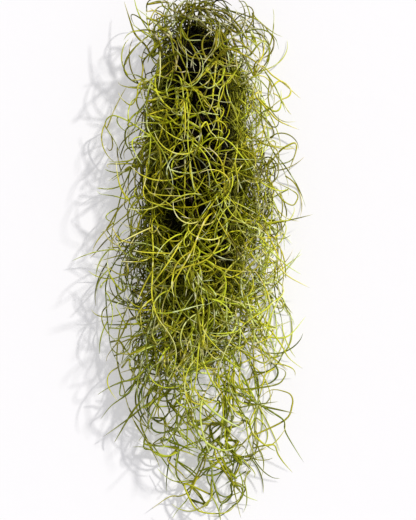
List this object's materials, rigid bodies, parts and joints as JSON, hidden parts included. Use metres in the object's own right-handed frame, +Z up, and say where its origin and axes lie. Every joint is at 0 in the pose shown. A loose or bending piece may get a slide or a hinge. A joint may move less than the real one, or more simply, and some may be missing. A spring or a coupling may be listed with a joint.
{
  "type": "spanish moss",
  "caption": "Bunch of Spanish moss as picked, lying down: an old black wiry heart with leafy green festoons rooted on it in tiers.",
  "frame": {"origin": "on the surface that the bunch lies on, under the middle of its length and width", "axes": "+Y along the bunch to the end that it hung by, +X across it, +Z up from the surface that it lies on"},
  "size_m": [0.1864, 0.4104, 0.0819],
  "materials": {
    "living_strand": "soft waxy, yellow-green to olive, browner at the roots and paler at the tips",
    "dead_strand": "matt, near-black wiry tangle"
  },
  "bodies": {
    "root": {"heart": "dead_strand", "crown_festoon_1": "living_strand", "crown_festoon_2": "living_strand", "crown_festoon_3": "living_strand", "crown_festoon_4": "living_strand", "shoulder_festoon_1": "living_strand", "shoulder_festoon_2": "living_strand", "shoulder_festoon_3": "living_strand", "shoulder_festoon_4": "living_strand", "shoulder_festoon_5": "living_strand", "shoulder_festoon_6": "living_strand", "chest_festoon_1": "living_strand", "chest_festoon_2": "living_strand", "chest_festoon_3": "living_strand", "chest_festoon_4": "living_strand", "chest_festoon_5": "living_strand", "chest_festoon_6": "living_strand", "chest_festoon_7": "living_strand", "waist_festoon_1": "living_strand", "waist_festoon_2": "living_strand", "waist_festoon_3": "living_strand", "waist_festoon_4": "living_strand", "waist_festoon_5": "living_strand", "waist_festoon_6": "living_strand", "hip_festoon_1": "living_strand", "hip_festoon_2": "living_strand", "hip_festoon_3": "living_strand", "hip_festoon_4": "living_strand", "hip_festoon_5": "living_strand", "tail_festoon_1": "living_strand", "tail_festoon_2": "living_strand", "tail_festoon_3": "living_strand", "tail_festoon_4": "living_strand"}
  },
  "joints": []
}
